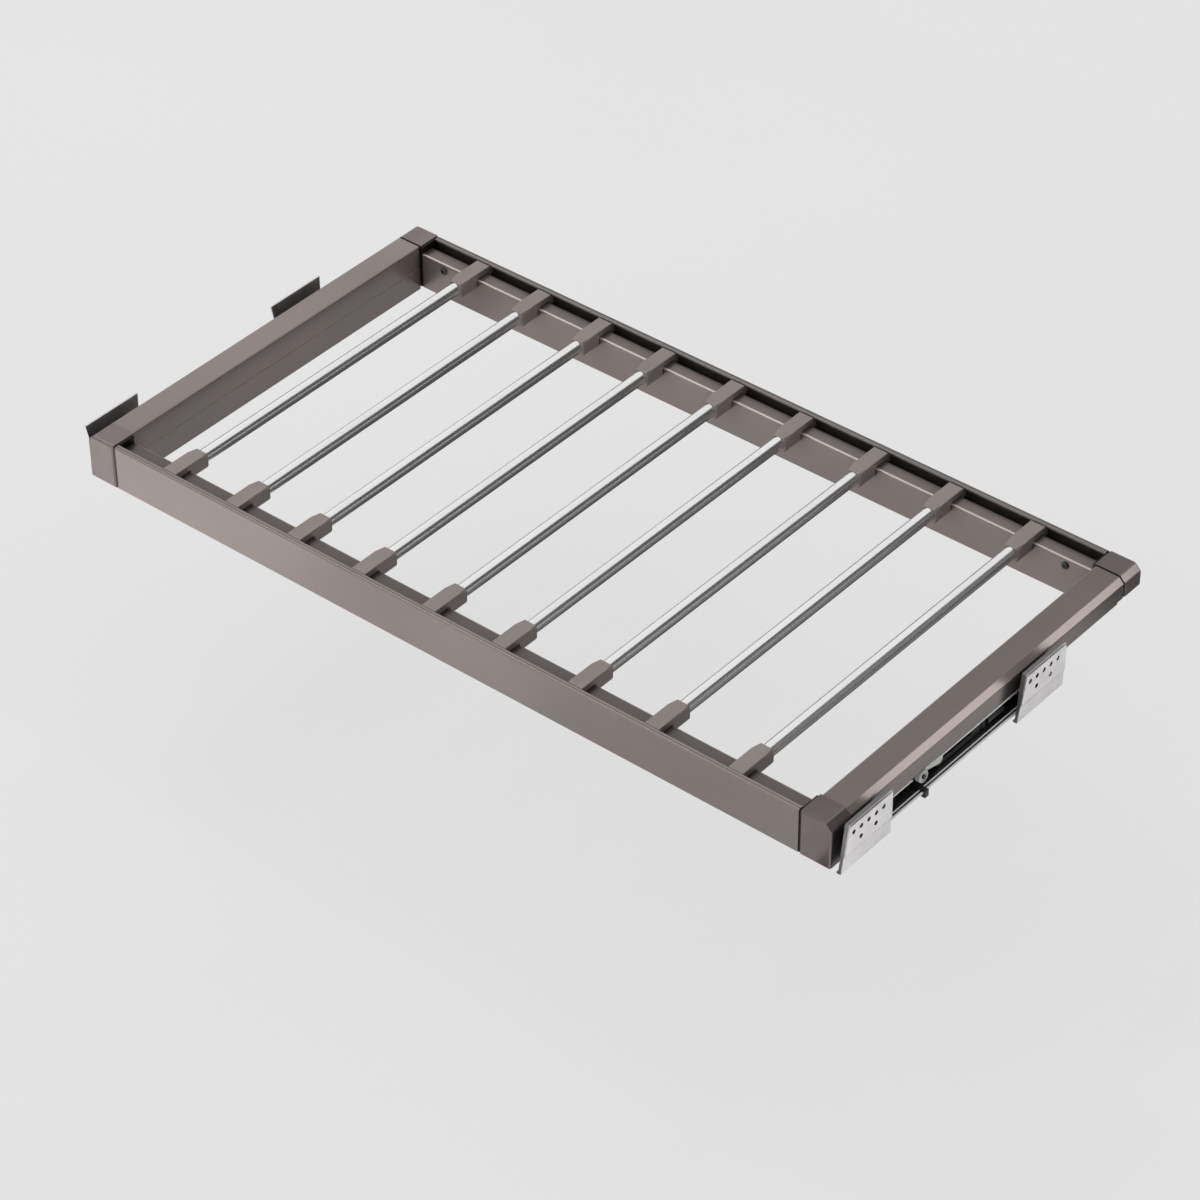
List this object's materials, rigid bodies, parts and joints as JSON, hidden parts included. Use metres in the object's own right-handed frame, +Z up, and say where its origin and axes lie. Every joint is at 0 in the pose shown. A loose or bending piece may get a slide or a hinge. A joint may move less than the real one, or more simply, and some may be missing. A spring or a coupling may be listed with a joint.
{
  "type": "pull out trouser rack",
  "caption": "Shallow rectangular pull-out rack with parallel round cross rods held by sliding sockets, running on side ball slides between cabinet wall brackets, for hanging folded trousers",
  "frame": {"origin": "middle of the rack in width and depth, at the height of its lowest edge (the foot of the side rails' inner skirts)", "axes": "+X across the cabinet to the right seen from the front, +Y from the front to the rear of the cabinet, +Z up"},
  "size_m": [0.864, 0.441, 0.049],
  "materials": {
    "frame_finish": "fine matt champagne brown anodising",
    "holder_plastic": "moulded, satin, coloured like the frame",
    "polished_rod": "polished plated tube",
    "zinc_steel": "bright zinc-plated pressed sheet",
    "ball_steel": "polished hard steel balls in a bright strip",
    "black_plastic": "black moulding",
    "grey_plastic": "pale grey moulded wheel",
    "bright_zinc": "bright pressed lever"
  },
  "bodies": {
    "cabinet_side": {"front_left_bracket": "zinc_steel", "front_right_bracket": "zinc_steel", "rear_left_bracket": "zinc_steel", "rear_right_bracket": "zinc_steel", "left_channel": "zinc_steel", "right_channel": "zinc_steel", "left_cabinet_member": "zinc_steel", "right_cabinet_member": "zinc_steel", "rivets": "zinc_steel", "catch_levers": "bright_zinc", "left_closing_unit": "black_plastic", "right_closing_unit": "black_plastic"},
    "rack": {"front_rail": "frame_finish", "rear_rail": "frame_finish", "left_rail": "frame_finish", "right_rail": "frame_finish", "front_left_cap": "frame_finish", "front_right_cap": "frame_finish", "rear_left_cap": "frame_finish", "rear_right_cap": "frame_finish", "cap_screws": "zinc_steel", "slide_screws": "zinc_steel", "closing_studs": "zinc_steel", "left_drawer_member": "zinc_steel", "right_drawer_member": "zinc_steel"},
    "left_middle_member": {"left_middle_member": "zinc_steel"},
    "left_outer_ball_cage": {"left_outer_ball_cage": "ball_steel"},
    "left_inner_ball_cage": {"left_inner_ball_cage": "ball_steel"},
    "left_support_roller": {"left_support_roller": "grey_plastic"},
    "right_middle_member": {"right_middle_member": "zinc_steel"},
    "right_outer_ball_cage": {"right_outer_ball_cage": "ball_steel"},
    "right_inner_ball_cage": {"right_inner_ball_cage": "ball_steel"},
    "right_support_roller": {"right_support_roller": "grey_plastic"},
    "rod_set_1": {"rod_1": "polished_rod", "front_holder_1": "holder_plastic", "rear_holder_1": "holder_plastic"},
    "rod_set_2": {"rod_2": "polished_rod", "front_holder_2": "holder_plastic", "rear_holder_2": "holder_plastic"},
    "rod_set_3": {"rod_3": "polished_rod", "front_holder_3": "holder_plastic", "rear_holder_3": "holder_plastic"},
    "rod_set_4": {"rod_4": "polished_rod", "front_holder_4": "holder_plastic", "rear_holder_4": "holder_plastic"},
    "rod_set_5": {"rod_5": "polished_rod", "front_holder_5": "holder_plastic", "rear_holder_5": "holder_plastic"},
    "rod_set_6": {"rod_6": "polished_rod", "front_holder_6": "holder_plastic", "rear_holder_6": "holder_plastic"},
    "rod_set_7": {"rod_7": "polished_rod", "front_holder_7": "holder_plastic", "rear_holder_7": "holder_plastic"},
    "rod_set_8": {"rod_8": "polished_rod", "front_holder_8": "holder_plastic", "rear_holder_8": "holder_plastic"},
    "rod_set_9": {"rod_9": "polished_rod", "front_holder_9": "holder_plastic", "rear_holder_9": "holder_plastic"}
  },
  "joints": [
    {"name": "rack_slide", "type": "slide", "parent": "cabinet_side", "child": "rack", "axis": [0, -1, 0], "range_m": [0, 0.4]},
    {"name": "left_middle_member_slide", "type": "slide", "parent": "cabinet_side", "child": "left_middle_member", "axis": [0, -1, 0], "range_m": [0, 0.2]},
    {"name": "left_outer_ball_cage_slide", "type": "slide", "parent": "cabinet_side", "child": "left_outer_ball_cage", "axis": [0, -1, 0], "range_m": [0, 0.1]},
    {"name": "left_inner_ball_cage_slide", "type": "slide", "parent": "cabinet_side", "child": "left_inner_ball_cage", "axis": [0, -1, 0], "range_m": [0, 0.3]},
    {"name": "left_support_roller_spin", "type": "hinge", "parent": "cabinet_side", "child": "left_support_roller", "pos_m": [-0.419, -0.0955, 0.0193], "axis": [1, 0, 0], "continuous": true},
    {"name": "right_middle_member_slide", "type": "slide", "parent": "cabinet_side", "child": "right_middle_member", "axis": [0, -1, 0], "range_m": [0, 0.2]},
    {"name": "right_outer_ball_cage_slide", "type": "slide", "parent": "cabinet_side", "child": "right_outer_ball_cage", "axis": [0, -1, 0], "range_m": [0, 0.1]},
    {"name": "right_inner_ball_cage_slide", "type": "slide", "parent": "cabinet_side", "child": "right_inner_ball_cage", "axis": [0, -1, 0], "range_m": [0, 0.3]},
    {"name": "right_support_roller_spin", "type": "hinge", "parent": "cabinet_side", "child": "right_support_roller", "pos_m": [0.419, -0.0955, 0.0193], "axis": [1, 0, 0], "continuous": true},
    {"name": "rod_set_1_slide", "type": "slide", "parent": "rack", "child": "rod_set_1", "axis": [1, 0, 0], "range_m": [-0.022, 0.029]},
    {"name": "rod_set_2_slide", "type": "slide", "parent": "rack", "child": "rod_set_2", "axis": [1, 0, 0], "range_m": [-0.029, 0.028]},
    {"name": "rod_set_3_slide", "type": "slide", "parent": "rack", "child": "rod_set_3", "axis": [1, 0, 0], "range_m": [-0.028, 0.029]},
    {"name": "rod_set_4_slide", "type": "slide", "parent": "rack", "child": "rod_set_4", "axis": [1, 0, 0], "range_m": [-0.029, 0.032]},
    {"name": "rod_set_5_slide", "type": "slide", "parent": "rack", "child": "rod_set_5", "axis": [1, 0, 0], "range_m": [-0.032, 0.031]},
    {"name": "rod_set_6_slide", "type": "slide", "parent": "rack", "child": "rod_set_6", "axis": [1, 0, 0], "range_m": [-0.031, 0.033]},
    {"name": "rod_set_7_slide", "type": "slide", "parent": "rack", "child": "rod_set_7", "axis": [1, 0, 0], "range_m": [-0.033, 0.033]},
    {"name": "rod_set_8_slide", "type": "slide", "parent": "rack", "child": "rod_set_8", "axis": [1, 0, 0], "range_m": [-0.033, 0.035]},
    {"name": "rod_set_9_slide", "type": "slide", "parent": "rack", "child": "rod_set_9", "axis": [1, 0, 0], "range_m": [-0.035, 0.03]}
  ],
  "couplings": [
    {"joint": "left_middle_member_slide", "follows": "rack_slide", "ratio": 0.5},
    {"joint": "left_outer_ball_cage_slide", "follows": "rack_slide", "ratio": 0.25},
    {"joint": "left_inner_ball_cage_slide", "follows": "rack_slide", "ratio": 0.75},
    {"joint": "left_support_roller_spin", "follows": "rack_slide", "rad_per_m": 166.67},
    {"joint": "right_middle_member_slide", "follows": "rack_slide", "ratio": 0.5},
    {"joint": "right_outer_ball_cage_slide", "follows": "rack_slide", "ratio": 0.25},
    {"joint": "right_inner_ball_cage_slide", "follows": "rack_slide", "ratio": 0.75},
    {"joint": "right_support_roller_spin", "follows": "rack_slide", "rad_per_m": 166.67}
  ]
}
